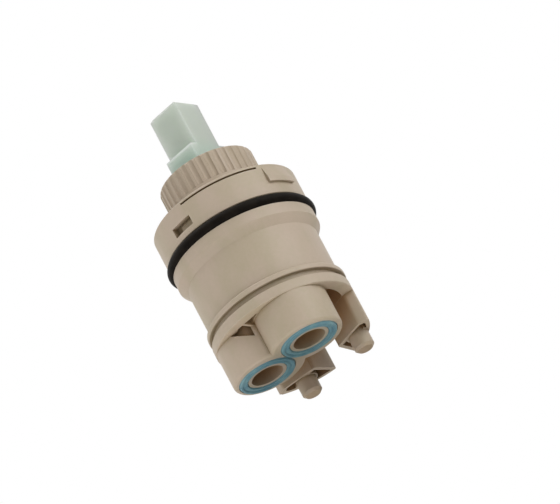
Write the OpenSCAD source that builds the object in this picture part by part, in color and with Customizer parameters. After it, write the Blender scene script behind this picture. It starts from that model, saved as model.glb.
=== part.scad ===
// Single-lever mixer tap cartridge with ceramic discs, on legs, in millimetres.
// +Z points up to the lever. The origin is on the axis, level with the tips of the
// locating pins. The inlet tubes lie towards -Y and the legs towards +Y, and the
// outlet is the open bay between them.

/* [Housing] */
// Outside diameter of the shoulder and the cap
body_d = 35; // [32:0.1:40]
// How far the barrel lies inside the shoulder
barrel_in = 1.5; // [1.2:0.1:2]
// Wall of the barrel
barrel_wall = 1.5; // [1.3:0.1:2]
// Height of the barrel from the base plate to its cone
barrel_h = 14.35; // [13:0.05:16]
// Height of the cone between the barrel and the shoulder
cone_h = 2.05; // [1.5:0.05:3]
// Height of the shoulder below the O-ring groove
shoulder_h = 2.65; // [2:0.05:4]
// Height of the lip at the foot of the barrel
lip_h = 1.4; // [1.2:0.05:2]
// Rounding of the lip's upper edge
lip_edge_r = 0.6; // [0.3:0.05:0.8]
// Height of the shadow groove under the lip
shadow_h = 1.45; // [1:0.05:1.7]
// Depth of the shadow groove
shadow_depth = 1.1; // [0.8:0.05:1.2]
// Rounding of the moulded outer edges
edge_r = 0.25; // [0.1:0.05:0.4]

/* [Cap] */
// Height of the cap
cap_h = 7.9; // [7.4:0.05:8.5]
// Thickness of the cap's top
cap_top_t = 2.05; // [1.8:0.05:2.4]
// Radius of the cap's upper edge
cap_edge_r = 0.35; // [0.3:0.05:0.6]
// Width of a snap window
window_w = 5.9; // [5:0.1:7]
// Height of a snap window
window_h = 2.35; // [2.2:0.05:2.8]
// Distance from the cap's lower edge to a snap window
window_up = 1.5; // [1.2:0.1:2]
// Width of a snap hook
hook_w = 3.8; // [3:0.1:4.5]
// Turn of the windows, slots and wedges against the line of the inlets
cap_turn = 4.5; // [0:0.5:8]
// Angle that a slot under the cap's rim spans
slot_angle = 65; // [50:1:70]
// Height of a slot under the rim
slot_h = 0.45; // [0.3:0.05:0.6]
// Depth of a slot under the rim
slot_depth = 0.9; // [0.6:0.05:1.2]
// Thickness of the rim above a slot
rim_t = 0.6; // [0.5:0.05:0.8]
// Angle that a side wedge spans
wedge_angle = 26; // [18:1:32]
// Height of a side wedge, down from the cap's top
wedge_h = 5; // [4:0.1:5.4]
// How far a side wedge stands out of the cap
wedge_out = 0.7; // [0.4:0.05:0.8]

/* [O-ring] */
// Section diameter of the O-ring
oring_section = 2.5; // [2.2:0.05:2.7]
// How far the O-ring stands out of the shoulder
oring_proud = 0.8; // [0.5:0.05:1]

/* [Base] */
// How far the base plate's edge and the lip's lie inside the shoulder
plate_in = 0.45; // [0.3:0.05:0.7]
// Thickness of the base plate
plate_t = 2.5; // [2.2:0.1:3.2]
// Height of the spigot that fits in the barrel
spigot_h = 4.75; // [4.4:0.05:5.2]
// Outside diameter of an inlet tube
tube_d = 17.7; // [17.5:0.05:17.8]
// How far a tube's outside is moved from its bore, towards the other tube
tube_shift = 0.8; // [0.7:0.05:0.9]
// Wall between the groove of a port seal and the spigot's side
port_wall = 0.82; // [0.7:0.02:1.2]
// Bore of an inlet tube
inlet_d = 7.8; // [7:0.1:8.2]
// How far the tubes' ends reach below the legs' feet
tube_drop = 1.15; // [0.8:0.05:1.6]
// Rounding of a tube's outer edge
tube_edge_r = 0.8; // [0.5:0.1:1]
// Length of the legs below the base plate
leg_h = 7.9; // [7:0.1:9]
// Gap between the two legs at their front corners
leg_gap = 8; // [7.4:0.1:8.6]
// Angle by which the legs' inner faces close in towards the back
leg_toe = 7; // [4:1:9]
// Angle by which the legs' front faces come forward on the outside
leg_rake = 5.7; // [3:0.1:7]
// How far a leg's front face lies in front of its locating pin
leg_lead = 0.3; // [0.2:0.05:0.5]
// Rounding of the legs' upright edges
leg_edge_r = 0.6; // [0.3:0.1:1]
// Wall of the hollow legs
leg_wall = 0.9; // [0.8:0.05:1.2]
// Depth of the pockets in the legs
leg_pocket = 5.6; // [4:0.1:6]
// Thickness of the ribs that hold the pins
leg_rib = 1.3; // [1:0.1:1.6]
// Diameter of a locating pin
pin_d = 4.8; // [4.4:0.1:5]
// Length of a locating pin below the foot
pin_h = 3.85; // [3.6:0.05:4.5]
// Distance from a locating pin to the base plate's edge
pin_edge = 0.25; // [0.2:0.05:0.6]
// Direction of each locating pin from the axis, measured from the X axis
pin_angle = 52.7; // [50:0.1:55]
// Thickness of the small rib between the tubes
web_t = 0.6; // [0.5:0.1:0.9]
// How far that rib is turned from the plane between the tubes
web_angle = 20; // [0:1:25]
// Depth of the pockets beside that rib
web_pocket = 1.5; // [1:0.1:2]

/* [Inlet seals] */
// Gap between the two inlet seals
seal_apart = 0.1; // [0.1:0.05:0.6]
// Width of an inlet seal across its ring
seal_w = 2.2; // [2:0.05:2.3]
// Width of the tube's rim inside an inlet seal
rim_w = 0.8; // [0.7:0.05:1]
// Height of an inlet seal
seal_h = 2.9; // [2.5:0.1:3.4]
// How far an inlet seal stands out of its groove
seal_proud = 0.35; // [0.25:0.05:0.5]

/* [Discs] */
// Gap between the fixed disc and the barrel
disc_gap = 0.6; // [0.4:0.05:0.8]
// Thickness of the fixed disc
fixed_disc_t = 3.6; // [3.2:0.1:4]
// Gap left between the moving disc and the barrel at the ends of its travel
disc_swing = 0.7; // [0.4:0.05:1]
// Thickness of the moving disc
moving_disc_t = 3.6; // [3.2:0.1:4]
// Diameter of an inlet port
port_d = 6; // [5.4:0.1:6.2]
// Diameter of the outlet port
outlet_d = 7.2; // [6.6:0.1:7.4]
// Distance of the outlet port from the axis, towards +Y
outlet_front = 5.2; // [5:0.05:5.4]
// Diameter of the mixing window
mix_d = 12.4; // [12:0.1:12.8]
// Distance of the mixing window from the disc's centre
mix_front = 0.4; // [0.2:0.05:0.6]
// Section of the rings under the fixed disc, across
port_ring_w = 1.2; // [1:0.05:1.3]
// Section of the rings under the fixed disc, in height
port_ring_h = 1.6; // [1.3:0.1:2]

/* [Carrier] */
// Thickness of the carrier's plate
carrier_t = 4.2; // [3.8:0.1:4.6]
// Width of the carrier's guide block
guide_w = 13; // [12:0.1:13.6]
// Length of the carrier's guide block
guide_l = 12; // [11:0.1:12.4]
// Height of the guide block
guide_h = 3.2; // [2.8:0.1:3.4]
// Thickness of the noise damper
damper_t = 1.1; // [0.8:0.1:1.2]
// Diameter of the noise damper
damper_d = 14.2; // [13.6:0.1:14.4]
// Diameter of the holes in the noise damper
damper_hole_d = 1.1; // [0.8:0.1:1.3]
// Section of the carrier's O-ring
carrier_ring_w = 1.5; // [1.3:0.05:1.6]

/* [Collar] */
// Diameter of the knurled collar
collar_d = 22.9; // [22.4:0.1:23.3]
// Height of the collar above the cap
collar_up = 9.8; // [9:0.05:10.5]
// Height of the knurled band
knurl_h = 6.55; // [5.5:0.05:7]
// Number of grooves in the knurled band
knurl_n = 36; // [30:1:40]
// How far the grooves are turned about the axis
knurl_turn = 1.3; // [0:0.1:5]
// Depth of a groove
knurl_depth = 0.4; // [0.3:0.05:0.5]
// Width of a groove
knurl_w = 1.5; // [1.2:0.05:1.6]
// Rounding of the collar's upper edge
collar_edge_r = 0.7; // [0.4:0.1:1]
// Height of the lever's pivot above the collar's flange
pivot_up = 1.4; // [1.2:0.05:1.8]
// Thickness of the glide ring
glide_t = 0.7; // [0.5:0.05:0.9]

/* [Lever] */
// Side of the square stem
stem_w = 8.4; // [8:0.1:8.6]
// Height of the stem above the collar
stem_up = 17.35; // [15:0.05:20]
// Length of the wider block along Y
block_l = 12.4; // [11.6:0.1:12.8]
// Height of the wider block above the collar
block_up = 5.3; // [4:0.05:7]
// Chamfer at the top of the stem
stem_chamfer = 0.7; // [0.4:0.1:1.2]
// Rounding of the stem's upright edges
stem_edge_r = 0.3; // [0.2:0.1:0.8]
// Diameter of the arm
arm_d = 4.4; // [4:0.1:4.6]
// Diameter of the ball
ball_d = 5.8; // [5.4:0.1:6]
// Diameter of the pivot pin
pivot_d = 3; // [2.6:0.1:3.2]

/* [Motion] */
// Tilt of the lever each way, in degrees
tilt = 12.5; // [8:0.5:13]
// Turn of the collar each way, in degrees
turn = 50; // [40:1:55]

/* [Fits] */
// Radial clearance of a running fit
running = 0.07; // [0.03:0.01:0.1]
// Radial clearance between pieces that are fixed together
fixed_gap = 0.04; // [0.02:0.01:0.06]
// Clearance between pieces that pass by each other
pass_gap = 0.3; // [0.25:0.05:0.4]
// Clearance between faces that slide on each other
face_gap = 0.05; // [0.02:0.01:0.1]

/* [Hidden] */
$fn = 96;

body_r = body_d / 2;
barrel_r = body_r - barrel_in;
bore_r = barrel_r - barrel_wall;
plate_r = body_r - plate_in;
collar_r = collar_d / 2;
// Where the rib meets the valley between the tubes
web_root = 10.7;
pin_r = pin_d / 2;
pivot_r = pivot_d / 2;

ball_up = 1;

// Levels, from the tips of the locating pins up
foot_z = pin_h;
tube_z = foot_z - tube_drop;
plate_z = foot_z + leg_h;
sleeve_z = plate_z + plate_t;
seat_z = sleeve_z + spigot_h;
moving_z = seat_z + fixed_disc_t;
carrier_z = moving_z + moving_disc_t;
guide_z = carrier_z + carrier_t;
gland_w = oring_section + 2 * face_gap;
gland_z = sleeve_z + barrel_h + cone_h + shoulder_h;
cap_z = gland_z + gland_w;
cap_top_z = cap_z + cap_h;
cap_under_z = cap_top_z - cap_top_t;
flange_z = guide_z + face_gap;
flange_top_z = cap_under_z - glide_t - 2 * face_gap;
pivot_z = flange_top_z + pivot_up;
collar_top_z = cap_top_z + collar_up;
ball_z = guide_z + ball_up;

// The O-ring groove's floor and the neck inside the cap
gland_r = body_r + oring_proud - oring_section;
neck_r = gland_r;
cap_bore_r = neck_r + fixed_gap;
cap_hole_r = collar_r + pass_gap;

// The lever swings the carrier by this much each way
arm_l = pivot_z - ball_z;
travel = arm_l * tilt * PI / 180;
ball_flat = 0.15;
slot_w = stem_w + 2 * running;
slot_half = block_l / 2 / cos(tilt) + (collar_top_z - pivot_z) * tan(tilt) + pass_gap;
socket_r = ball_d / 2 + running;
socket_flare = 0.5;

// The discs, and the ports with the tubes in line below them
fixed_disc_r = bore_r - disc_gap;
moving_disc_r = bore_r - travel - disc_swing;
port_ring_r = port_d / 2 + 0.6;
port_groove_r = port_ring_r + port_ring_w + fixed_gap;
outlet_ring_r = outlet_d / 2 + 0.4;

// The seal in the tube's end, and the bores as near each other as the seals allow
seal_z = tube_z - seal_proud;
seal_hole_r = inlet_d / 2 + rim_w + fixed_gap;
seal_r = seal_hole_r + seal_w;
seal_pocket_r = seal_r + 2 * fixed_gap;
tube_reach = bore_r - fixed_gap - port_wall - port_groove_r;
tube_x = seal_r + seal_apart / 2;
tube_back = sqrt(pow(tube_reach, 2) - pow(tube_x, 2));
tube_mid = [tube_x - tube_shift, tube_shift / 4 - tube_back];

// The locating pins, and the legs that carry them
pin_reach = plate_r - pin_edge - pin_r;
pin_x = pin_reach * cos(pin_angle);
pin_y = pin_reach * sin(pin_angle);
pin_boss_r = pin_r + 0.5;
leg_back = [cos(leg_toe), sin(leg_toe)];
leg_side = [sin(leg_rake), cos(leg_rake)];
leg_front = pin_y * leg_side[1] + pin_x * leg_side[0] - pin_r - leg_lead;
leg_corner_y = (leg_front - leg_gap / 2 * leg_side[0]) / leg_side[1];
leg_inner = [leg_gap / 2, leg_corner_y] * leg_back;

// Small features
lug_depth = 1.5;
lug_r = bore_r - 0.2;
lug_h = 2;
lug_angle = 14;
bead_z = sleeve_z + 1.6;
bead_h = 1;
bead_out = 0.35;
stop_angle = 8;
stop_depth = 1.1;
drive_w = 4.8;
drive_depth = 1.5;
drive_t = 2.4;

beige = [0.75, 0.67, 0.59];
beige_dark = [0.62, 0.53, 0.44];
ceramic = [0.93, 0.92, 0.9];

// Shape helpers

// A ring about Z with a square section
module ring(r_in, r_out, h) {
    difference() {
        cylinder(r = r_out, h = h);
        translate([0, 0, -1]) cylinder(r = r_in, h = h + 2);
    }
}

// Part of a ring, centred on the direction at
module ring_part(r_in, r_out, h, at, angle) {
    rotate(at - angle / 2) rotate_extrude(angle = angle)
        translate([r_in, 0]) square([r_out - r_in, h]);
}

// A block centred on X and Y, standing on Z = 0
module block(w, l, h) {
    translate([-w / 2, -l / 2, 0]) cube([w, l, h]);
}

// The same block with rounded upright edges
module soft_block(w, l, h, r) {
    linear_extrude(h) {
        square([w - 2 * r, l], center = true);
        square([w, l - 2 * r], center = true);
        for (x = [-1, 1], y = [-1, 1]) translate([x * (w / 2 - r), y * (l / 2 - r)]) circle(r = r);
    }
}

// Half the section of a ring between two levels, with its outer edges rounded
module soft_band(r_in, r_out, low, high, r) {
    translate([r_in, low + r]) square([r_out - r_in, high - low - 2 * r]);
    translate([r_in, low]) square([r_out - r_in - r, high - low]);
    for (z = [low + r, high - r]) translate([r_out - r, z]) circle(r = r);
}

// Both places of something that is repeated across the YZ plane
module both_sides() {
    children();
    mirror([1, 0, 0]) children();
}

// Both places of something that is repeated half a turn round Z
module half_turns() {
    for (a = [0, 180]) rotate(a) children();
}

// Sleeve: the barrel with its lip, cone, O-ring groove, neck and snap hooks

module sleeve_outline() {
    lip_z = sleeve_z + shadow_h;
    lip_top = lip_z + lip_h;
    neck_top = cap_under_z - fixed_gap;
    translate([bore_r, lip_z + edge_r]) square([barrel_r - bore_r, gland_z - lip_z - edge_r]);
    translate([bore_r, sleeve_z]) square([plate_r - shadow_depth - bore_r, shadow_h + edge_r]);
    soft_band(bore_r, plate_r, lip_z, lip_top - lip_edge_r + edge_r, edge_r);
    translate([bore_r, lip_z + edge_r]) square([plate_r - lip_edge_r - bore_r, lip_h - edge_r]);
    translate([plate_r - lip_edge_r, lip_top - lip_edge_r]) circle(r = lip_edge_r);
    polygon([[bore_r, gland_z - shoulder_h - cone_h], [barrel_r, gland_z - shoulder_h - cone_h],
             [body_r, gland_z - shoulder_h], [body_r, gland_z], [bore_r, gland_z]]);
    translate([bore_r, gland_z]) square([neck_r - bore_r, neck_top - gland_z]);
}

module snap_hook() {
    low = cap_z + window_up + 2 * fixed_gap;
    high = cap_z + window_up + window_h - 2 * fixed_gap;
    rotate([90, 0, 0]) linear_extrude(hook_w)
        polygon([[0, low], [1.1, low], [1.1, high - 0.7], [0.6, high], [0, high]]);
}

module sleeve() {
    color(beige) difference() {
        union() {
            rotate_extrude() sleeve_outline();
            translate([0, 0, cap_z + 0.5])
                ring_part(bore_r - stop_depth, bore_r + 0.5, flange_top_z - cap_z - 0.6, 90, stop_angle);
            rotate(-cap_turn) half_turns()
                translate([window_w / 2 - 0.1, -neck_r + 0.4, 0]) rotate(-90) snap_hook();
        }
        translate([0, 0, bead_z - 2 * fixed_gap])
            ring(bore_r - 1, bore_r + bead_out + 2 * fixed_gap, bead_h + 4 * fixed_gap);
    }
}

// Cap: the ring over the neck, with windows, wedges and slots under its rim

module cap_outline() {
    difference() {
        union() {
            soft_band(0, body_r, cap_z, cap_top_z - cap_edge_r + edge_r, edge_r);
            translate([0, cap_z]) square([body_r - cap_edge_r, cap_h]);
            translate([body_r - cap_edge_r, cap_top_z - cap_edge_r]) circle(r = cap_edge_r);
        }
        translate([0, cap_z - 1]) square([cap_bore_r, cap_under_z - cap_z + 1]);
        translate([0, cap_z - 1]) square([cap_hole_r, cap_h + 2]);
    }
}

module rim_slot() {
    translate([0, 0, cap_top_z - rim_t - slot_h])
        ring_part(body_r - slot_depth, body_r + 1, slot_h, -50, slot_angle);
}

module cap_wedge() {
    low = cap_top_z - wedge_h;
    rotate(-wedge_angle / 2) rotate_extrude(angle = wedge_angle)
        polygon([[body_r - 0.5, low], [body_r + wedge_out, low],
                 [body_r + wedge_out, low + 1.2], [body_r - 0.1, cap_top_z - cap_edge_r],
                 [body_r - 0.5, cap_top_z - cap_edge_r]]);
}

module top_cap() {
    color(beige) difference() {
        union() {
            rotate_extrude() cap_outline();
            rotate(-cap_turn) half_turns() cap_wedge();
        }
        rotate(-cap_turn) half_turns() {
            translate([0, -body_r, cap_z + window_up]) block(window_w, 6, window_h);
            rim_slot();
        }
    }
}

// Base: the plate, spigot, inlet tubes, legs and locating pins

module tube_body() {
    rotate_extrude() union() {
        translate([0, tube_z + tube_edge_r]) square([tube_d / 2, plate_z - tube_z - tube_edge_r + 1]);
        translate([0, tube_z]) square([tube_d / 2 - tube_edge_r, plate_z - tube_z]);
        translate([tube_d / 2 - tube_edge_r, tube_z + tube_edge_r]) circle(r = tube_edge_r);
    }
}

// What rounds a corner: n1 and n2 point inwards from its two sides, c is the arc's centre.
// The circle is a hair too large, so that it crosses the slanting sides cleanly.
module corner_cut(c, n1, n2, e) {
    far = e + 1;
    difference() {
        polygon([c, c - far * n1, c - far * (n1 + n2) / (1 + n1 * n2), c - far * n2]);
        translate(c) circle(r = e + 0.002);
    }
}

// The same for the corner between the rim of radius r and a flat side, with inward
// normal n at distance d from the axis, which the rim meets in the direction along
module rim_corner(n, d, along, r, e) {
    c = n * (d + e) + along * sqrt(pow(r - e, 2) - pow(d + e, 2));
    corner_cut(c, n, -c / (r - e), e);
}

module leg_outline(inset, e) {
    r = plate_r - inset;
    d1 = leg_inner + inset;
    d2 = leg_front + inset;
    turned = leg_back[0] * leg_side[1] - leg_back[1] * leg_side[0];
    function meet(a, b) = [a * leg_side[1] - b * leg_back[1], b * leg_back[0] - a * leg_side[0]] / turned;
    corner = meet(d1, d2);
    difference() {
        intersection() {
            circle(r = r);
            polygon([corner, corner + 2 * r * [-leg_back[1], leg_back[0]], [2 * r, 2 * r],
                     corner + 2 * r * [leg_side[1], -leg_side[0]]]);
        }
        corner_cut(meet(d1 + e, d2 + e), leg_back, leg_side, e);
        rim_corner(leg_back, d1, [-leg_back[1], leg_back[0]], r, e);
        rim_corner(leg_side, d2, [leg_side[1], -leg_side[0]], r, e);
    }
}

module pin_rib(w) {
    rotate(pin_angle) translate([0, -w / 2]) square([plate_r - 0.1, w]);
}

module leg() {
    difference() {
        translate([0, 0, foot_z]) linear_extrude(leg_h + 1) leg_outline(0, leg_edge_r);
        translate([0, 0, foot_z - 1]) linear_extrude(leg_pocket + 1) difference() {
            leg_outline(leg_wall, leg_edge_r / 2);
            translate([pin_x, pin_y]) circle(r = pin_boss_r);
            pin_rib(leg_rib);
        }
    }
}

module locating_pin() {
    tip = 0.6;
    translate([pin_x, pin_y, 0]) {
        translate([0, 0, tip]) cylinder(r = pin_r, h = foot_z);
        cylinder(r1 = pin_r - tip, r2 = pin_r, h = tip);
    }
}

// The V between the tubes, where the plate's underside is cut back beside a rib
module front_pocket() {
    front = plate_r - 2.95;
    translate([0, 0, plate_z - 0.01]) linear_extrude(web_pocket + 0.01) difference() {
        translate([-4.2, -front]) square([7.2, front - tube_back]);
        for (x = [-1, 1]) translate([x * tube_mid[0], tube_mid[1]]) circle(r = tube_d / 2 + 0.3);
        translate([0, -web_root]) rotate(-web_angle) translate([-web_t / 2, -8]) square([web_t, 16]);
    }
}

// The rib is deepest in the valley between the tubes and ends flush with the plate
module front_rib() {
    reach = plate_r - web_root - 2;
    translate([0, -web_root, 0]) rotate([0, 0, -90 - web_angle]) rotate([90, 0, 0])
        translate([0, 0, -web_t / 2]) linear_extrude(web_t)
            polygon([[-3, plate_z - 1], [0, plate_z - 1], [reach - 0.8, plate_z], [reach, plate_z + 1],
                     [-3, plate_z + 1]]);
}

module seat_lugs() {
    for (a = [0, 180, 270]) translate([0, 0, seat_z - 0.5])
        ring_part(lug_r - lug_depth, lug_r, lug_h + 0.5, a, lug_angle);
}

module base() {
    color(beige) difference() {
        union() {
            rotate_extrude() soft_band(0, plate_r, plate_z, sleeve_z, edge_r);
            translate([0, 0, plate_z + 1]) cylinder(r = bore_r - fixed_gap, h = plate_t + spigot_h - 1);
            for (a = [45 : 90 : 315]) translate([0, 0, bead_z])
                ring_part(bore_r - 1, bore_r + bead_out, bead_h, a, 30);
            seat_lugs();
            both_sides() {
                translate(tube_mid) tube_body();
                leg();
                locating_pin();
            }
            front_rib();
        }
        front_pocket();
        both_sides() translate([tube_x, -tube_back, 0]) {
            translate([0, 0, tube_z - 1]) cylinder(d = inlet_d, h = sleeve_z - tube_z + 1);
            cylinder(d = port_d, h = seat_z + 1);
            translate([0, 0, tube_z - 1])
                ring(seal_hole_r - fixed_gap, seal_pocket_r, seal_h - seal_proud + 1);
            translate([0, 0, seat_z - port_ring_h])
                ring(port_ring_r - fixed_gap, port_groove_r, port_ring_h + 1);
        }
        translate([0, outlet_front, 0]) {
            translate([0, 0, plate_z - 1]) cylinder(d = outlet_d, h = plate_t + spigot_h + 2);
            translate([0, 0, seat_z - port_ring_h])
                ring(outlet_ring_r - fixed_gap, outlet_ring_r + port_ring_w + fixed_gap, port_ring_h + 1);
        }
    }
}

// Seals

module body_oring() {
    color([0.08, 0.08, 0.09]) translate([0, 0, gland_z + gland_w / 2]) rotate_extrude()
        translate([gland_r + oring_section / 2 + 0.01, 0]) circle(d = oring_section);
}

// A seal with two lips that stand out of the tube's end
module inlet_seal() {
    w = seal_w;
    lip = 0.55;
    valley = 0.3;
    low = 0.1;
    color([0.22, 0.5, 0.62]) translate([tube_x, -tube_back, 0]) rotate_extrude()
        translate([seal_hole_r, seal_z])
            polygon([[0, seal_h], [0, lip], [0.13 * w, low], [0.32 * w, low], [0.45 * w, valley],
                     [0.55 * w, valley], [0.68 * w, 0], [0.87 * w, 0], [w, lip], [w, seal_h]]);
}

module inlet_seal_right() {
    inlet_seal();
}

module inlet_seal_left() {
    mirror([1, 0, 0]) inlet_seal();
}

// A flat-sided ring in its groove, touching the fixed disc
module seat_ring(r_in) {
    w = port_ring_w - 2 * fixed_gap;
    edge = 0.25;
    translate([0, 0, seat_z - port_ring_h]) rotate_extrude()
        translate([r_in + fixed_gap, 0])
            polygon([[edge, 0], [w - edge, 0], [w, edge], [w, port_ring_h - edge],
                     [w - edge, port_ring_h], [edge, port_ring_h], [0, port_ring_h - edge], [0, edge]]);
}

module port_seal_right() {
    color([0.15, 0.15, 0.16]) translate([tube_x, -tube_back, 0]) seat_ring(port_ring_r);
}

module port_seal_left() {
    mirror([1, 0, 0]) port_seal_right();
}

module port_seal_outlet() {
    color([0.15, 0.15, 0.16]) translate([0, outlet_front, 0]) seat_ring(outlet_ring_r);
}

// Ceramic discs

module fixed_disc() {
    gap_angle = lug_angle + 2;
    color(ceramic) difference() {
        translate([0, 0, seat_z]) cylinder(r = fixed_disc_r, h = fixed_disc_t);
        for (x = [-tube_x, tube_x]) translate([x, -tube_back, 0]) cylinder(d = port_d, h = moving_z + 1);
        translate([0, outlet_front, 0]) cylinder(d = outlet_d, h = moving_z + 1);
        for (a = [0, 180, 270]) translate([0, 0, seat_z - 1])
            ring_part(lug_r - lug_depth - fixed_gap, bore_r + 1, lug_h + 1 + pass_gap, a, gap_angle);
    }
}

module moving_disc() {
    notch_w = drive_w + 2 * running;
    color(ceramic) difference() {
        translate([0, 0, moving_z + face_gap / 2])
            cylinder(r = moving_disc_r, h = moving_disc_t - face_gap / 2);
        translate([0, mix_front, moving_z - 1]) cylinder(d = mix_d, h = moving_disc_t + 2);
        half_turns() translate([moving_disc_r + bore_r / 2 - drive_depth - running, 0, moving_z - 1])
            block(bore_r, notch_w, moving_disc_t + 2);
    }
}

// Carrier: the sliding plate with its guide block, drive lugs and ball socket

module carrier_outline() {
    r = bore_r - pass_gap;
    intersection() {
        translate([0, travel]) circle(r = r);
        translate([0, -travel]) circle(r = r);
    }
}

module disc_carrier() {
    ring_r = damper_d / 2 + 0.6;
    socket_z = ball_z - socket_r - pass_gap / 2;
    color([0.86, 0.85, 0.8]) difference() {
        union() {
            translate([0, 0, carrier_z]) linear_extrude(carrier_t) carrier_outline();
            translate([0, 0, guide_z - 1]) block(guide_w, guide_l, guide_h + 1);
            half_turns() translate([moving_disc_r - drive_depth + drive_t / 2, 0, moving_z + 0.8])
                block(drive_t, drive_w, moving_disc_t);
        }
        translate([0, mix_front, carrier_z - 1]) {
            cylinder(r = damper_d / 2 + fixed_gap, h = damper_t + 1);
            ring(ring_r - fixed_gap, ring_r + carrier_ring_w + fixed_gap, carrier_ring_w - 0.2 + 1);
        }
        translate([0, 0, socket_z]) cylinder(r = socket_r, h = guide_z + guide_h - socket_z + 1);
        translate([0, 0, ball_z]) cylinder(r1 = socket_r, r2 = socket_r + socket_flare, h = guide_h);
    }
}

module carrier_seal() {
    w = carrier_ring_w;
    edge = 0.35;
    color([0.12, 0.12, 0.12]) translate([0, mix_front, carrier_z]) rotate_extrude()
        translate([damper_d / 2 + 0.6, 0])
            polygon([[edge, 0], [w - edge, 0], [w, edge], [w, w - 0.2 - edge], [w - edge, w - 0.2],
                     [edge, w - 0.2], [0, w - 0.2 - edge], [0, edge]]);
}

// A plate with rings of small holes that breaks up the stream
module noise_damper() {
    color([0.8, 0.8, 0.82]) translate([0, mix_front, carrier_z + face_gap]) difference() {
        cylinder(d = damper_d, h = damper_t - face_gap);
        for (i = [0 : 2]) {
            count = max(1, 6 * i);
            for (k = [0 : count - 1]) rotate(k * 360 / count) translate([i * 2, 0, -1])
                cylinder(d = damper_hole_d, h = damper_t + 2);
        }
    }
}

// Glide ring, collar, pivot pin and lever

module glide_ring() {
    color([0.9, 0.9, 0.88]) translate([0, 0, cap_under_z - glide_t])
        ring(cap_hole_r + 0.2, bore_r - 0.2, glide_t);
}

module knurl_grooves() {
    r = knurl_w / 2;
    for (k = [0 : knurl_n - 1]) rotate(k * 360 / knurl_n + knurl_turn)
        translate([collar_r + r - knurl_depth, 0, collar_top_z - knurl_h])
            cylinder(r = r, h = knurl_h + 1, $fn = 24);
}

module collar_body() {
    rotate_extrude() union() {
        translate([0, flange_z]) square([bore_r - running, flange_top_z - flange_z]);
        translate([0, flange_z]) square([collar_r, collar_top_z - flange_z - collar_edge_r]);
        translate([0, flange_z]) square([collar_r - collar_edge_r, collar_top_z - flange_z]);
        translate([collar_r - collar_edge_r, collar_top_z - collar_edge_r]) circle(r = collar_edge_r);
    }
}

module spindle_collar() {
    guide_slot = guide_l + 2 * (travel + pass_gap);
    channel_top = guide_z + guide_h + pass_gap;
    hub_half = block_l / 2 / cos(tilt) + pass_gap;
    recess = 2 * turn + stop_angle + 1;
    color(beige_dark) difference() {
        collar_body();
        translate([0, 0, flange_z - 1]) block(guide_w + 2 * running, guide_slot, channel_top - flange_z + 1);
        translate([0, 0, flange_z]) block(slot_w, 2 * hub_half, pivot_z - flange_z);
        translate([0, 0, pivot_z - 0.01]) block(slot_w, 2 * slot_half, collar_top_z - pivot_z + 1);
        translate([-bore_r, 0, pivot_z]) rotate([0, 90, 0]) cylinder(r = pivot_r + 0.02, h = 2 * bore_r);
        knurl_grooves();
        translate([0, 0, cap_z + 0.2])
            ring_part(bore_r - stop_depth - 0.2, bore_r + 1, flange_top_z - cap_z, 90, recess);
    }
}

module pivot_pin() {
    half = collar_r - 0.4;
    color([0.75, 0.76, 0.78]) translate([-half, 0, pivot_z]) rotate([0, 90, 0]) {
        cylinder(r = pivot_r, h = 2 * half);
    }
}

// The stem's outline from one side, with its chamfered top
module stem_side(w) {
    top = collar_top_z + stem_up;
    polygon([[-w / 2, pivot_z], [w / 2, pivot_z], [w / 2, top - stem_chamfer],
             [w / 2 - stem_chamfer, top], [-w / 2 + stem_chamfer, top], [-w / 2, top - stem_chamfer]]);
}

module lever() {
    block_top = collar_top_z + block_up;
    color([0.71, 0.76, 0.7]) difference() {
        union() {
            intersection() {
                translate([0, 0, pivot_z]) soft_block(stem_w, stem_w, 2 * stem_w + stem_up, stem_edge_r);
                translate([0, stem_w / 2, 0]) rotate([90, 0, 0]) linear_extrude(stem_w) stem_side(stem_w);
                translate([-stem_w / 2, 0, 0]) rotate([90, 0, 90]) linear_extrude(stem_w) stem_side(stem_w);
            }
            translate([0, 0, pivot_z]) soft_block(stem_w, block_l, block_top - pivot_z, stem_edge_r);
            translate([-stem_w / 2, 0, pivot_z]) rotate([0, 90, 0]) cylinder(d = block_l, h = stem_w);
            translate([0, 0, ball_z]) cylinder(d = arm_d, h = arm_l);
            translate([0, 0, ball_z]) sphere(d = ball_d);
        }
        translate([0, 0, ball_z - ball_d / 2 - 1]) block(ball_d, ball_d, 1 + ball_flat);
        translate([-stem_w, 0, pivot_z]) rotate([0, 90, 0]) cylinder(r = pivot_r + running, h = 2 * stem_w);
    }
}

sleeve();
top_cap();
base();
body_oring();
inlet_seal_left();
inlet_seal_right();
port_seal_left();
port_seal_right();
port_seal_outlet();
fixed_disc();
moving_disc();
carrier_seal();
noise_damper();
disc_carrier();
glide_ring();
spindle_collar();
pivot_pin();
lever();
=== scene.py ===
# %% [markdown]
# # A mixer tap cartridge, photographed from below
# The model comes from CAD, so its shapes and places are already right. This lesson
# gives it what CAD leaves out: the base's small hollows, real finishes, light and a camera.
# Everything is in metres, in the CAD's own frame: +Z runs up the axis to the lever,
# the inlet tubes lie towards -Y and the legs towards +Y.

import math

import bmesh
import bpy
from mathutils import Matrix, Vector


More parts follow.
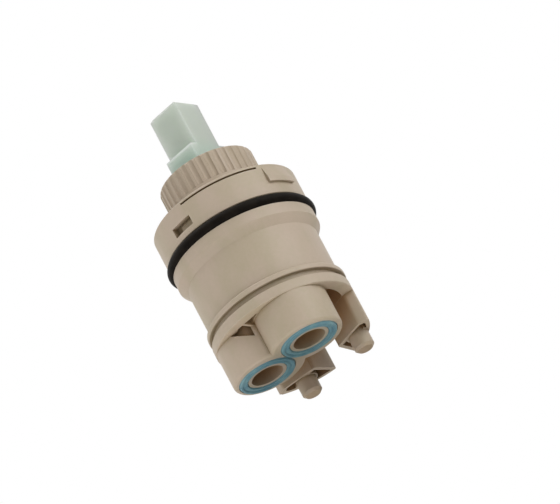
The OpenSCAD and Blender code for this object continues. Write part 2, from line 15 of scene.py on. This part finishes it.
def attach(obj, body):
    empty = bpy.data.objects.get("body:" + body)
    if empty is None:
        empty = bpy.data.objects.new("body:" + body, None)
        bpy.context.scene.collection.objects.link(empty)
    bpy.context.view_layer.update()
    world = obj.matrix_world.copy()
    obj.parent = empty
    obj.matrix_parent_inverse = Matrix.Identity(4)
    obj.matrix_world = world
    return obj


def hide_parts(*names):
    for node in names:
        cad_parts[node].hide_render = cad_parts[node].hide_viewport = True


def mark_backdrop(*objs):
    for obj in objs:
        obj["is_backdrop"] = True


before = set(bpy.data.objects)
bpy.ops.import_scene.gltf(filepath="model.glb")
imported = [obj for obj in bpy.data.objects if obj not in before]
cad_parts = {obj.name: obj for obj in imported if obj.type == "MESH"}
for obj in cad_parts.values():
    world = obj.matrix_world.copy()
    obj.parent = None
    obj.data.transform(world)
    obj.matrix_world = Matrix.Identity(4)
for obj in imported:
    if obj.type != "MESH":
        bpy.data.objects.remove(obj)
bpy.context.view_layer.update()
MM = 0.001
MICRON = 0.000001

# %% [markdown]
# ## The camera
# A photograph fixes where its camera stood. One could turn a camera by hand until the
# picture looks right, but that is never quite right everywhere. Here known points on the
# cartridge, such as the ends of the tubes, the pins and the rings, were matched to the
# picture, and the best fit is a view from 24 degrees below the horizon, turned 31 degrees
# round the axis and rolled by 28 degrees. The picture has almost no perspective, so the
# lens is a long one, 3 metres away. A lens shift would also put the object off the
# picture's centre, but other views keep a shift, so the camera steps aside by some
# millimetres instead.

# %% Place the camera
AZIMUTH, ELEVATION, ROLL = (math.radians(a) for a in (30.58, -23.79, 27.95))
DISTANCE, SENSOR = 3.0, 36
PIXELS_PER_METRE = 4474
WIDTH, HEIGHT = 560, 504
AIM = Vector((0, 0, 34 * MM))
AIM_PIXEL = (243.0, 245.1)

towards = Vector((math.sin(AZIMUTH) * math.cos(ELEVATION),
                  -math.cos(AZIMUTH) * math.cos(ELEVATION), math.sin(ELEVATION)))
level = Vector((math.cos(AZIMUTH), math.sin(AZIMUTH), 0))
upright = towards.cross(level)
right = level * math.cos(ROLL) - upright * math.sin(ROLL)
up = level * math.sin(ROLL) + upright * math.cos(ROLL)

aside = (right * (WIDTH / 2 - AIM_PIXEL[0]) - up * (HEIGHT / 2 - AIM_PIXEL[1])) / PIXELS_PER_METRE
camera = bpy.data.objects.new("camera", bpy.data.cameras.new("camera"))
bpy.context.scene.collection.objects.link(camera)
camera.data.sensor_width = SENSOR
camera.data.lens = PIXELS_PER_METRE * DISTANCE * SENSOR / WIDTH
camera.data.clip_start, camera.data.clip_end = 0.1, 20
turned = Matrix((right, up, towards)).transposed().to_4x4()
camera.matrix_world = Matrix.Translation(AIM + aside + towards * DISTANCE) @ turned
bpy.context.scene.camera = camera
bpy.context.scene.view_settings.view_transform = "Standard"
print("lens in mm:", round(camera.data.lens),
      "step aside in mm:", [round(v * 1000, 2) for v in aside])

# %% [markdown]
# ## Maths on sockets
# A material is a graph of nodes, and a long row of Math nodes is hard to read. One could
# draw the graph in the shader editor, but a script has to say every link in words. The
# class below wraps one socket, so that `1 - mask * 0.3` in Python adds the nodes that
# work it out. Its `node` method makes any other kind of node: it sets the node's own
# settings first, and then fills or links its sockets.

# %% A wire that knows arithmetic
class Wire:
    """One socket in a node tree."""

    def __init__(self, tree, socket=None):
        self.tree, self.socket = tree, socket

    def node(self, kind, settings=None, sockets=None, out=0):
        made = self.tree.nodes.new("ShaderNode" + kind)
        for name, value in (settings or {}).items():
            setattr(made, name, value)
        for name, value in (sockets or {}).items():
            if isinstance(value, Wire):
                self.tree.links.new(value.socket, made.inputs[name])
            else:
                made.inputs[name].default_value = value
        return Wire(self.tree, made.outputs[out])

    def maths(self, operation, *values):
        return self.node("Math", {"operation": operation}, dict(enumerate(values)))

    def __add__(self, other):
        return self.maths("ADD", self, other)

    def __sub__(self, other):
        return self.maths("SUBTRACT", self, other)

    def __rsub__(self, other):
        return self.maths("SUBTRACT", other, self)

    def __mul__(self, other):
        return self.maths("MULTIPLY", self, other)

    __radd__, __rmul__ = __add__, __mul__

    def ramp(self, low, high):
        """0 at low, 1 at high, and smooth between them."""
        return self.node("MapRange", {"interpolation_type": "SMOOTHSTEP"},
                         {"Value": self, "From Min": low, "From Max": high})

# %% [markdown]
# ## Colours
# A paint chart gives a colour as it looks on a screen, from 0 to 255, but nodes reckon
# with the light itself. A Math node would also turn a colour grey, so two colours are
# blended by a Mix node.

# %% Colours from a chart
def colour(r, g, b):
    """A colour as a paint chart writes it, from 0 to 255, in the linear light that nodes use."""
    return tuple(((v / 255 + 0.055) / 1.055) ** 2.4 for v in (r, g, b)) + (1,)


def mix(factor, under, over):
    """Two colours, blended by a factor."""
    return factor.node("Mix", {"data_type": "RGBA"}, {0: factor, 6: under, 7: over}, out=2)


print("a chart's 128 is", round(colour(128, 128, 128)[0], 3), "of the light of white")

# %% [markdown]
# ## What all the finishes share
# Every finish reads the place of a point on its own piece. The CAD objects sit at the
# origin, so object coordinates are the real part's own, in metres, and they stay with
# the piece when it moves. Unwrapping every piece and painting it would also work, but
# here nothing is painted: a few helpers turn the place into noise of a chosen size.

# %% Start a finish
def start(name):
    """An empty material with its shader: the material, the shader, and the point on the piece."""
    material = bpy.data.materials.new(name)
    material.use_nodes = True
    tree = material.node_tree
    shader = tree.nodes["Principled BSDF"]
    point = Wire(tree).node("TexCoord", out="Object")
    return material, shader, point


def feed(shader, **inputs):
    """Sets or links sockets of the shader; an underscore stands for a space."""
    for name, value in inputs.items():
        socket = shader.inputs[name.replace("_", " ")]
        if isinstance(value, Wire):
            value.tree.links.new(value.socket, socket)
        else:
            socket.default_value = value

# %% [markdown]
# ## Noise and relief
# No moulded, ground or lapped face is perfectly even. Real relief this fine would need
# millions of faces, so the shapes stay as they are and a bump only tilts the light on
# them, by a depth given in microns. Anything that the eye sees as a form of its own is
# geometry instead.

# %% Noise, bumps and height
def noise(point, size, detail=3, roughness=0.55, stretch=(1, 1, 1)):
    """Noise whose lumps are about this size in metres, from 0 to 1."""
    spot = point.node("Mapping", {"vector_type": "POINT"}, {"Vector": point, "Scale": stretch})
    sockets = {"Vector": spot, "Scale": 1 / size, "Detail": detail, "Roughness": roughness}
    return point.node("TexNoise", {"noise_dimensions": "3D", "normalize": True}, sockets)


def bumps(*layers):
    """A normal from (height, distance in metres) layers, each laid on the one before."""
    normal = None
    for height, distance in layers:
        sockets = {"Height": height, "Distance": distance, "Strength": 1}
        if normal:
            sockets["Normal"] = normal
        normal = height.node("Bump", None, sockets)
    return normal


def height_of(point):
    """How high a point is above the floor, in metres."""
    return point.node("SeparateXYZ", None, {"Vector": point}, out=2)

# %% [markdown]
# ## Corners, gaps and edges
# Here light and shade are painted into the colour along the form. Deep corners get a
# painted brown shade, for light that has bounced off the plastic a few times before it
# gets there. Narrow gaps get a painted olive shade, and edges get a painted highlight, a
# little lighter, and less roughness. These places could be painted by hand, piece by piece.
# Ambient Occlusion nodes find all three from the shape itself, whatever the view: a wide
# one for corners, a narrow one for gaps, and one that looks inwards for edges.

# %% Find corners, gaps and edges
CORNER_REACH, GAP_REACH, EDGE_REACH = 14 * MM, 2 * MM, 0.5 * MM


def hollows(point, reach, open_at, deep_at, own=True):
    """0 on open faces and 1 in corners, bores and pockets, looking this far for other faces."""
    open_sky = point.node("AmbientOcclusion", {"samples": 8, "only_local": own},
                          {"Distance": reach}, out=1)
    return open_sky.ramp(open_at, deep_at)


def edges(point, reach):
    """1 along outer edges and 0 elsewhere: there, a short look inwards leaves the piece."""
    open_sky = point.node("AmbientOcclusion",
                          {"samples": 6, "only_local": True, "inside": True},
                          {"Distance": reach}, out=1)
    return open_sky.ramp(0.9, 0.5)


print("reach in mm of corners, gaps, edges:",
      [round(reach / MM, 1) for reach in (CORNER_REACH, GAP_REACH, EDGE_REACH)])

# %% [markdown]
# ## Moulded plastic
# The housing, cap, base and collar are injection moulded in a stiff beige plastic. One
# flat colour would look like a toy: the melt leaves broad soft clouds where it flowed,
# some pinkish and some more yellow, and the steel mould prints a fine matt grain. So the
# body colour comes from noise of two sizes, the grain is a bump of a few microns, and the
# three masks above lay a painted brown shade in corners, a painted olive shade in gaps and
# a painted highlight on edges over it.

# %% A moulded plastic
# The colour of the painted edge highlight, then the shares of painted corner shade, painted gap
# shade and painted highlight.
HIGHLIGHT_COLOUR = colour(222, 210, 194)
CORNER_SHADE_SHARE, GAP_SHADE_SHARE, HIGHLIGHT_SHARE = 0.92, 0.8, 0.3


def moulded(name, body, cloud, corner, gap_shade_colour, rough=0.46, own=True, shade_above=None):
    """Plastic in four colours: body, cloud, and painted shade for corners and for gaps. Own
    tells that only the piece's own walls make a gap, and a neck may get painted shade above
    some height."""
    material, shader, point = start(name)
    flow = noise(point, 6 * MM, 2, 0.5, (1, 1, 0.45))
    speck = noise(point, 0.8 * MM, 3, 0.65)
    grain = noise(point, 0.12 * MM, 3, 0.6)
    tone = flow.ramp(0.35, 0.65) * 0.7 + speck.ramp(0.3, 0.7) * 0.3
    # Painted brown shade in corners, bores and pockets, found by occlusion.
    corner_shade = hollows(point, CORNER_REACH, 0.62, 0.16)
    # Painted olive shade in narrow gaps, and on a neck above a given height.
    gap_shade = hollows(point, GAP_REACH, 0.84, 0.4, own) * (0.6 + speck * 0.4)
    if shade_above:
        neck_shade = height_of(point).ramp(shade_above, shade_above + 0.5 * MM)
        gap_shade = gap_shade.maths("MAXIMUM", gap_shade, neck_shade * (0.7 + speck * 0.4))
    # A painted highlight along outer edges, which are also a little smoother.
    edge_highlight = edges(point, EDGE_REACH) * speck.ramp(0.35, 0.6)
    plain = mix(edge_highlight * HIGHLIGHT_SHARE, mix(tone, body, cloud), HIGHLIGHT_COLOUR)
    shaded = mix(corner_shade * CORNER_SHADE_SHARE, plain, corner)
    feed(shader, Base_Color=mix(gap_shade * GAP_SHADE_SHARE, shaded, gap_shade_colour),
         Roughness=rough - 0.06 + grain * 0.1 + flow * 0.05 + corner_shade * 0.15 - edge_highlight * 0.1,
         Normal=bumps((noise(point, 9 * MM, 1), 40 * MICRON), (grain, 6 * MICRON)),
         Specular_IOR_Level=0.45)
    return material

# %% [markdown]
# ## The beige mouldings
# All four mouldings are of one plastic, and one material could serve them all. But the
# painted shade of a gap between two pieces should show on the cap, the sleeve and the
# collar, and would darken the base where it stands near the floor, so each has its own.
# The sleeve's neck gets painted shade above a height, and the collar, which turns in the
# cap with the lever, is a little darker and smoother.

# %% The four beige finishes
NECK_Z = 36.5 * MM
# Each list holds the body, cloud, painted corner shade and painted gap shade colours.
BEIGE = colour(195, 177, 158), colour(185, 171, 146), colour(172, 130, 84), colour(122, 106, 74)
COLLAR = colour(190, 173, 153), colour(180, 164, 140), colour(160, 128, 92), colour(134, 116, 86)

base_beige = moulded("base_plastic", *BEIGE)
cap_beige = moulded("cap_plastic", *BEIGE, own=False)
sleeve_beige = moulded("sleeve_plastic", *BEIGE, own=False, shade_above=NECK_Z)
collar_beige = moulded("collar_plastic", *COLLAR, rough=0.42, own=False)
print("moulded finishes:",
      [finish.name for finish in (base_beige, cap_beige, sleeve_beige, collar_beige)])

# %% [markdown]
# ## The lever's acetal
# The lever is milky green-grey acetal, a plastic that light enters and leaves again
# nearby. A plain paint would look dead there, and true glass-like transmission would show
# the far side, which this plastic hides. Subsurface scattering gives the glow at its
# edges. Its colour is painted greener low down, as painted shade where less light comes
# through, and its faces carry faint tool lines along the stem.

# %% Milky lever plastic
GREEN_BELOW, PALE_ABOVE = 55 * MM, 64 * MM


def milky(name):
    material, shader, point = start(name)
    cloud = noise(point, 5 * MM, 2)
    lines = noise(point, 0.4 * MM, 2, 0.5, (1, 1, 0.06))
    # Painted shade: the colour turns greener towards the bottom of the lever.
    shaded_low = (height_of(point) + cloud * (3 * MM)).ramp(PALE_ABOVE, GREEN_BELOW)
    pale = mix(cloud, colour(198, 205, 195), colour(190, 198, 187))
    feed(shader, Base_Color=mix(shaded_low * 0.8, pale, colour(180, 203, 191)),
         Roughness=0.42 + lines * 0.12,
         Normal=bumps((noise(point, 7 * MM, 1), 30 * MICRON), (lines, 6 * MICRON)),
         Subsurface_Weight=0.9, Subsurface_Radius=(1.0, 1.1, 0.95), Subsurface_Scale=8 * MM,
         Specular_IOR_Level=0.35)
    return material


lever_plastic = milky("lever_acetal")
print("milky finish:", lever_plastic.name, "with", len(lever_plastic.node_tree.nodes), "nodes")

# %% [markdown]
# ## Rubber
# The body ring is black nitrile rubber with a film of silicone grease, so it is nearly
# black, with a soft broad shine. The inlet seals are the same kind of rubber in blue.
# Rubber from a polished mould shows a very fine skin, and grease lies on it unevenly. A
# lower roughness alone would make the rubber itself look wet: a coat whose weight varies
# lays the grease on top of it.

# %% Greased rubber
def rubber(name, skin, worn, rough, coat, gloss):
    material, shader, point = start(name)
    smear = noise(point, 2.8 * MM, 3, 0.6)
    grain = noise(point, 0.16 * MM, 2)
    feed(shader, Base_Color=mix(smear.ramp(0.35, 0.75), skin, worn),
         Roughness=rough + grain * 0.12,
         Coat_Weight=smear.ramp(0.3, 0.7) * coat, Coat_Roughness=0.22, Specular_IOR_Level=gloss,
         Normal=bumps((noise(point, 2 * MM, 2), 20 * MICRON), (grain, 5 * MICRON)))
    return material


black_rubber = rubber("black_rubber", colour(18, 14, 10), colour(27, 22, 16),
                      rough=0.46, coat=0.02, gloss=0.06)
blue_rubber = rubber("blue_rubber", colour(104, 146, 160), colour(126, 166, 172),
                     rough=0.42, coat=0.3, gloss=0.35)
print("rubber finishes:", black_rubber.name, blue_rubber.name)

# %% [markdown]
# ## The lapped discs
# Both discs are alumina, lapped so flat that water can't pass between them. They show only
# through the inlet bores or when someone opens the cartridge. A plain white gloss would do
# from afar. Close by, lapping leaves very fine straight scratches and the ceramic has
# small grey specks, so both come from noise.

# %% Lapped ceramic
def lapped(name):
    material, shader, point = start(name)
    speck = noise(point, 0.25 * MM, 3, 0.7)
    scratch = noise(point, 0.3 * MM, 2, 0.5, (0.08, 1, 1))
    white, grey = colour(240, 238, 232), colour(221, 217, 209)
    feed(shader, Base_Color=mix(speck.ramp(0.55, 0.8), white, grey),
         Roughness=0.16 + scratch * 0.14, Normal=bumps((scratch, 1.5 * MICRON)))
    return material


ceramic = lapped("lapped_ceramic")
print("ceramic finish:", ceramic.name)

# %% [markdown]
# ## The hidden plastics
# The carrier and the glide ring are pale acetal, and the damper is a grey moulding. They
# are moulded like the housing, so the same helper makes them, with their own four colours.

# %% Inner plastics
# The last two colours of each are painted shade, for corners and for gaps.
carrier_plastic = moulded("carrier_plastic", colour(221, 219, 208), colour(212, 209, 196),
                          colour(180, 172, 152), colour(160, 152, 132), rough=0.4)
glide_plastic = moulded("glide_plastic", colour(234, 233, 228), colour(226, 225, 219),
                        colour(190, 186, 172), colour(170, 166, 150), rough=0.34)
damper_plastic = moulded("damper_plastic", colour(142, 146, 153), colour(130, 134, 141),
                         colour(90, 90, 92), colour(80, 80, 80), rough=0.42)
print("inner plastics:", carrier_plastic.name, glide_plastic.name, damper_plastic.name)

# %% [markdown]
# ## The pivot pin
# The pin is ground steel rod. Grinding leaves fine rings round it. The shader's own
# anisotropy could stretch the shine the same way, but it needs a tangent on the mesh, so
# noise that is drawn out round the pin, which lies along X, does it here.

# %% Ground steel
def ground_steel(name):
    material, shader, point = start(name)
    rings = noise(point, 0.2 * MM, 3, 0.6, (1, 0.1, 0.1))
    feed(shader, Base_Color=mix(rings, colour(214, 215, 217), colour(186, 188, 192)),
         Metallic=1.0, Roughness=0.2 + rings * 0.18, Normal=bumps((rings, 2 * MICRON)))
    return material


steel = ground_steel("ground_steel")
print("steel finish:", steel.name)

# %% [markdown]
# ## Who wears what
# Each CAD node keeps its mesh. Its material slot now takes one of the finishes above. A
# table of finishes is easier to check than a row of single lines: its sum has to be the
# number of nodes.

# %% Dress the nodes
FINISHES = {
    sleeve_beige: ("sleeve",),
    cap_beige: ("top_cap",),
    base_beige: ("base",),
    collar_beige: ("spindle_collar",),
    lever_plastic: ("lever",),
    black_rubber: ("body_oring", "port_seal_left", "port_seal_right", "port_seal_outlet",
                   "carrier_seal"),
    blue_rubber: ("inlet_seal_left", "inlet_seal_right"),
    ceramic: ("fixed_disc", "moving_disc"),
    carrier_plastic: ("disc_carrier",),
    glide_plastic: ("glide_ring",),
    damper_plastic: ("noise_damper",),
    steel: ("pivot_pin",),
}
for finish, names in FINISHES.items():
    for name in names:
        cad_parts[name].data.materials[0] = finish
print("dressed", sum(len(n) for n in FINISHES.values()), "of", len(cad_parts), "nodes")

# %% [markdown]
# ## Carving the base
# A moulder takes plastic out wherever a wall would be thick. In the photograph the base
# has deep hollows in its plate between tubes and legs, another beside the thin rib in
# the valley between the tubes, and legs whose front swells forward and ends in a slanted
# strip. The CAD base has the tubes, legs, rib and cores. The rest could be sculpted, but
# a moulding has flat walls and sharp rims, which blocks give exactly: each is drawn from
# above and raised between two levels.

# %% Blocks to carve with
def block(name, outline, low, high):
    """A closed block: its outline seen from above and its two levels, in mm. The low one may
    slope, and is then a function of x."""
    low_at = low if callable(low) else lambda x: low
    form = bmesh.new()
    foot = form.faces.new([form.verts.new((x * MM, y * MM, low_at(x) * MM)) for x, y in outline])
    grown = bmesh.ops.extrude_face_region(form, geom=[foot])["geom"]
    for corner in grown:
        if isinstance(corner, bmesh.types.BMVert):
            corner.co.z = high * MM
    bmesh.ops.recalc_face_normals(form, faces=form.faces)
    mesh = bpy.data.meshes.new(name)
    form.to_mesh(mesh)
    form.free()
    made = bpy.data.objects.new(name, mesh)
    bpy.context.scene.collection.objects.link(made)
    return made


def bend(middle, radius, start, end, steps=16):
    """Points of an arc in mm, from one angle to another in degrees."""
    angles = (math.radians(start + (end - start) * i / steps) for i in range(steps + 1))
    return [(middle[0] + radius * math.cos(a), middle[1] + radius * math.sin(a)) for a in angles]


def other_side(outline):
    """The same outline on the other leg, mirrored in x."""
    return [(-x, y) for x, y in outline]

# %% [markdown]
# ## Where the base's forms lie
# The hollows have to run along walls that the CAD base already has, so the same places
# and radii are written here again, in millimetres seen from above. A leg's front runs
# from its inner corner out to the swell, turns there with a small round, and ends in the
# strip at its outer corner.

# %% Places and radii, in mm
PLATE_Z, FOOT_Z = 11.75, 3.85
AXIS = (0, 0)
TUBE, TUBE_R = (6.19, -5.146), 8.85
PIN, PIN_R = (8.726, 11.455), 2.4
LEG_INNER, LEG_SWELL, LEG_OUTER = Vector((4.0, 9.21)), Vector((12.6, 7.25)), Vector((14.65, 8.2))
EDGE_R = 1.6

front = (LEG_SWELL - LEG_INNER).normalized()
strip = (LEG_OUTER - LEG_SWELL).normalized()
half_turn = math.degrees(front.angle(strip)) / 2
to_middle = (strip - front).normalized()
edge_middle = LEG_SWELL + to_middle * (EDGE_R / math.cos(math.radians(half_turn)))
front_out = math.degrees(math.atan2(-front.x, front.y))
print("the legs' front turns by", round(2 * half_turn), "degrees at its edge")

# %% [markdown]
# ## Legs and plate
# The swelling is added to the leg, and then its core is cut again, so that the front
# keeps an even wall. The plate's hollow ends a hair before the walls round it: two faces
# in exactly the same place are the one thing that a Boolean handles badly.

# %% Outlines of the legs and the plate
WALL, HAIR = 0.7, 0.06
HOLLOW_R, HOLLOW_H = 14.15, 4.0
CORE_H, OVERLAP = 5.6, 0.5


def on_front(x, depth=0.0):
    """A point of the leg's front, or this far behind it."""
    inward = Vector((-front.y, front.x))
    place = LEG_INNER + inward * depth
    return x, place.y + front.y / front.x * (x - place.x)


swelling = ([on_front(4.6)] + bend(edge_middle, EDGE_R, front_out, front_out + 2 * half_turn, 8)
            + [(14.6, 8.18), (14.2, 8.6), (4.6, 9.6)])
leg_core = ([on_front(7.9, WALL), on_front(12.1, WALL), (13.1, 8.75), (12.9, 9.4)]
            + bend(PIN, PIN_R + 0.05, -20, -112))
plate_core = (bend(AXIS, HOLLOW_R, -4.6, 30)
              + [on_front(11.8, -HAIR), on_front(5.4, -HAIR)]
              + bend(TUBE, TUBE_R + HAIR, 96, 33))
print("points of the swelling, leg core and plate core:",
      len(swelling), len(leg_core), len(plate_core))

# %% [markdown]
# ## The valley between the tubes
# A thin rib stands in the valley, 20 degrees off the plane of symmetry. Beside it, on the
# left tube's side, the hollow has two storeys: below, its rim slopes down towards the
# rib, and above the plate's underside it goes on with upright walls.

# %% Outlines of the valley
RIB_RUN = (0.342, 0.94)
RIB_FOOT = (-0.3, -10.59)
VALLEY_R, VALLEY_OUT_R, VALLEY_H = 7.4, 14.1, 1.8
VALLEY_X = -5.5
left_tube = (-TUBE[0], TUBE[1])


def beside_rib(along):
    """A point of the hollow's wall beside the rib, this far out along it."""
    return RIB_FOOT[0] - RIB_RUN[0] * along, RIB_FOOT[1] - RIB_RUN[1] * along


def valley_rim(x):
    """The level of the hollow's rim, which slopes down towards the rib."""
    return PLATE_Z - 0.2 - (x - VALLEY_X) * 0.6


tube_side = bend(left_tube, VALLEY_R, -38, -84, 10)
valley_low = [(VALLEY_X, -15.3), beside_rib(4.7), beside_rib(-0.8)] + tube_side
valley_high = ([beside_rib(3.4), beside_rib(-0.8)] + tube_side
               + bend(AXIS, VALLEY_OUT_R, -114, -98, 6))
print("points of the valley's two storeys:", len(valley_low), len(valley_high))

# %% [markdown]
# ## Cut and hand over
# Boolean modifiers cut the blocks out one after the other, on a copy: the CAD base stays
# as it is for MuJoCo, and the copy stands for it in the picture. Each modifier is applied
# at once, because the block isn't needed afterwards. A Boolean works on several
# processor cores and lists its faces in another order each time, so they are sorted by
# place, and every run gives the same mesh. The CAD's stored normals no longer fit the
# new faces and aren't taken over: edges sharper than 28 degrees are marked instead.

# %% Sort a mesh
def in_order(mesh):
    """The same points and faces in a mesh of their own, sorted by place."""
    points = [tuple(vertex.co) for vertex in mesh.vertices]
    by_place = sorted(range(len(points)), key=points.__getitem__)
    new_number = {old: new for new, old in enumerate(by_place)}
    faces = []
    for face in mesh.polygons:
        corners = [new_number[corner] for corner in face.vertices]
        first = corners.index(min(corners))
        faces.append(corners[first:] + corners[:first])
    ordered = bpy.data.meshes.new(mesh.name)
    ordered.from_pydata([points[old] for old in by_place], [], sorted(faces))
    for material in mesh.materials:
        ordered.materials.append(material)
    return ordered

# %% Carve a copy of the base
SHARP = math.radians(28)


def carve(name, node, steps):
    """A copy of a CAD node, changed by blocks that are added or taken out one by one."""
    made = bpy.data.objects.new(name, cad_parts[node].data.copy())
    bpy.context.scene.collection.objects.link(made)
    joined = bmesh.new()
    joined.from_mesh(made.data)
    bmesh.ops.remove_doubles(joined, verts=joined.verts, dist=MICRON)
    joined.to_mesh(made.data)
    joined.free()
    for number, (how, outline, low, high) in enumerate(steps):
        tool = block(f"{name}_tool_{number}", outline, low, high)
        change = made.modifiers.new(f"step_{number}", "BOOLEAN")
        change.operation, change.solver, change.object = how, "EXACT", tool
        bpy.context.view_layer.update()
        ready = made.evaluated_get(bpy.context.evaluated_depsgraph_get())
        made.data = bpy.data.meshes.new_from_object(ready)
        made.modifiers.clear()
        bpy.data.objects.remove(tool)
    made.data = in_order(made.data)
    made.data.name = name
    made.data.shade_smooth()
    made.data.set_sharp_from_angle(angle=SHARP)
    return made

# %% [markdown]
# ## The plan of cuts
# The order matters: the swelling has to be there before the core is cut through it, and
# the plate's hollow comes last, because it runs along both. One leg is cut as drawn, and
# `other_side` mirrors the same outlines for the other.

# %% The carved base
plan = [("DIFFERENCE", valley_low, valley_rim, PLATE_Z + 0.02),
        ("DIFFERENCE", valley_high, PLATE_Z - 0.02, PLATE_Z + VALLEY_H)]
for turn in (list, other_side):
    plan += [("UNION", turn(swelling), FOOT_Z, PLATE_Z + OVERLAP),
             ("DIFFERENCE", turn(leg_core), FOOT_Z - 1, FOOT_Z + CORE_H),
             ("DIFFERENCE", turn(plate_core), PLATE_Z - OVERLAP, PLATE_Z + HOLLOW_H)]
carved_base = carve("carved_base", "base", plan)
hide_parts("base")
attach(carved_base, "housing")
print("carved base:", len(carved_base.data.polygons), "faces after", len(plan), "steps")

# %% [markdown]
# ## Surroundings
# The photograph has a white ground. A strong white world would give that too, but it
# would also wash out the part. So the world is white only where the camera, a reflection
# or glass looks at it, and softer where it lights the part.

# %% White surroundings
AMBIENT, WHITE = 0.25, (1, 1, 1, 1)

world = bpy.data.worlds.new("surroundings")
bpy.context.scene.world = world
world.use_nodes = True
world.node_tree.nodes.clear()
empty = Wire(world.node_tree)
seen = empty.node("LightPath", out="Is Camera Ray")
for kind in ("Is Glossy Ray", "Is Transmission Ray"):
    seen = seen.maths("MAXIMUM", seen, empty.node("LightPath", out=kind))
soft = empty.node("Background", None, {"Color": WHITE, "Strength": AMBIENT})
white = empty.node("Background", None, {"Color": WHITE, "Strength": 1})
sky = empty.node("MixShader", None, {0: seen, 1: soft, 2: white})
ground = world.node_tree.nodes.new("ShaderNodeOutputWorld")
world.node_tree.links.new(sky.socket, ground.inputs[0])
print("the world lights with", AMBIENT, "and shows as 1")

# %% [markdown]
# ## The floor
# The cartridge stands on its pins on a pale floor. This camera looks from below, where a
# plain floor would hide everything. Leaving it out would cost the other views their
# shadow, so its underside is clear, and from above it is a plain surface that takes the
# shadow.

# %% A floor that is clear from below
def clear_floor(size):
    mesh = bpy.data.meshes.new("floor")
    corners = [(x, y, 0) for x, y in ((-size, -size), (size, -size), (size, size), (-size, size))]
    mesh.from_pydata(corners, [], [(0, 1, 2, 3)])
    floor = bpy.data.objects.new("floor", mesh)
    bpy.context.scene.collection.objects.link(floor)
    material = bpy.data.materials.new("pale_floor")
    material.use_nodes = True
    tree = material.node_tree
    tree.nodes.clear()
    top = Wire(tree).node("BsdfDiffuse", None, {"Color": (0.86, 0.86, 0.86, 1)})
    back = top.node("NewGeometry", out="Backfacing")
    shadow = top.node("LightPath", out="Is Shadow Ray")
    through = top.maths("MAXIMUM", back, shadow)
    shown = top.node("MixShader", None, {0: through, 1: top, 2: top.node("BsdfTransparent")})
    output = tree.nodes.new("ShaderNodeOutputMaterial")
    tree.links.new(shown.socket, output.inputs[0])
    mesh.materials.append(material)
    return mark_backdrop(floor)


clear_floor(size=2.5)
print("floor: clear from below, pale from above")

# %% [markdown]
# ## Light
# In the photograph the light comes from above, a little from the right, and a white
# table throws some of it back from below. The strengths were found by rendering the
# part once for each of 29 lamps on a dome, and fitting their sum to the photograph.
# Four lamps give nearly the same picture as all of them, so four are kept here, moved
# and balanced a little so that the legs and pins catch enough light from below.

# %% Soft lamps round the camera
LAMP_REACH, LAMP_SIZE = 0.5, 0.42


def lamp(name, sideways, upwards, forwards, strength):
    """A square soft lamp half a metre away, placed by the camera's own directions."""
    way = right * sideways + up * upwards + towards * forwards
    place = AIM + way.normalized() * LAMP_REACH
    light = bpy.data.lights.new(name, "AREA")
    light.size = LAMP_SIZE
    light.energy = strength * math.pi ** 2 * LAMP_REACH ** 2
    made = bpy.data.objects.new(name, light)
    made.location = place
    made.rotation_euler = (place - AIM).to_track_quat("Z", "Y").to_euler()
    bpy.context.scene.collection.objects.link(made)
    return made


lamps = [lamp("overhead", 0.45, 0.80, 0.40, 0.49),
         lamp("left_rim", -0.70, 0.70, -0.09, 0.40),
         lamp("table_front", 0.10, -0.85, 0.50, 0.40),
         lamp("low_left", -0.70, -0.70, 0.05, 0.28)]
print("lamps in watts:", {made.name: round(made.data.energy, 2) for made in lamps})
